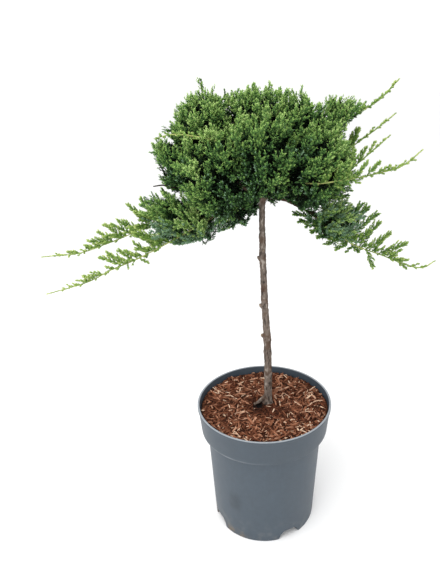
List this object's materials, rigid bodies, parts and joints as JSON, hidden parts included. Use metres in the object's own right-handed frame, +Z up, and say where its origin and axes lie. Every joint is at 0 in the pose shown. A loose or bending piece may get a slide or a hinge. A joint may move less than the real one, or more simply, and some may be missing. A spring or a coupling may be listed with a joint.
{
  "type": "potted nana japanese garden juniper",
  "caption": "Dwarf juniper grafted as a small standard: a thin stem with a dense cushion of needle foliage and long arching shoots, in a round collared nursery pot topped with bark mulch.",
  "frame": {"origin": "centre of the pot's flat underside", "axes": "+Z up; -Y towards the viewer of the front, +X to that viewer's right"},
  "size_m": [0.626, 0.3852, 0.7416],
  "materials": {
    "pot_plastic": "smooth injection-moulded plastic, blue-grey, slightly satin",
    "bark_mulch": "loose shredded bark, dull",
    "bark": "flaky grey-brown bark, dull",
    "needles": "dense needle foliage, soft sheen",
    "young_needles": "fresh pale green needle shoots, soft sheen"
  },
  "bodies": {
    "root": {"pot": "pot_plastic", "soil_and_mulch": "bark_mulch", "stem": "bark", "bough_crown_top": "bark", "bough_top_left": "bark", "bough_top_right": "bark", "bough_arm_right": "bark", "bough_left": "bark", "bough_front_left": "bark", "bough_front": "bark", "bough_front_right": "bark", "bough_right": "bark", "bough_back_right": "bark", "bough_back_left": "bark", "bough_low_left": "bark", "bough_low_front": "bark", "bough_low_right": "bark", "bough_low_back": "bark", "whip_left_upper": "young_needles", "whip_left_lower": "young_needles", "whip_right_top": "young_needles", "whip_right_back": "young_needles", "whip_right_middle": "young_needles", "whip_right_front": "young_needles", "whip_right_lower": "young_needles", "whip_back_left": "young_needles", "whip_back_right": "young_needles", "foliage_crown_top": "needles", "foliage_top_left": "needles", "foliage_top_right": "needles", "foliage_arm_right": "needles", "foliage_left": "needles", "foliage_front_left": "needles", "foliage_front": "needles", "foliage_front_right": "needles", "foliage_right": "needles", "foliage_back_right": "needles", "foliage_back_left": "needles", "foliage_low_left": "needles", "foliage_low_front": "needles", "foliage_low_right": "needles", "foliage_low_back": "needles"}
  },
  "joints": []
}
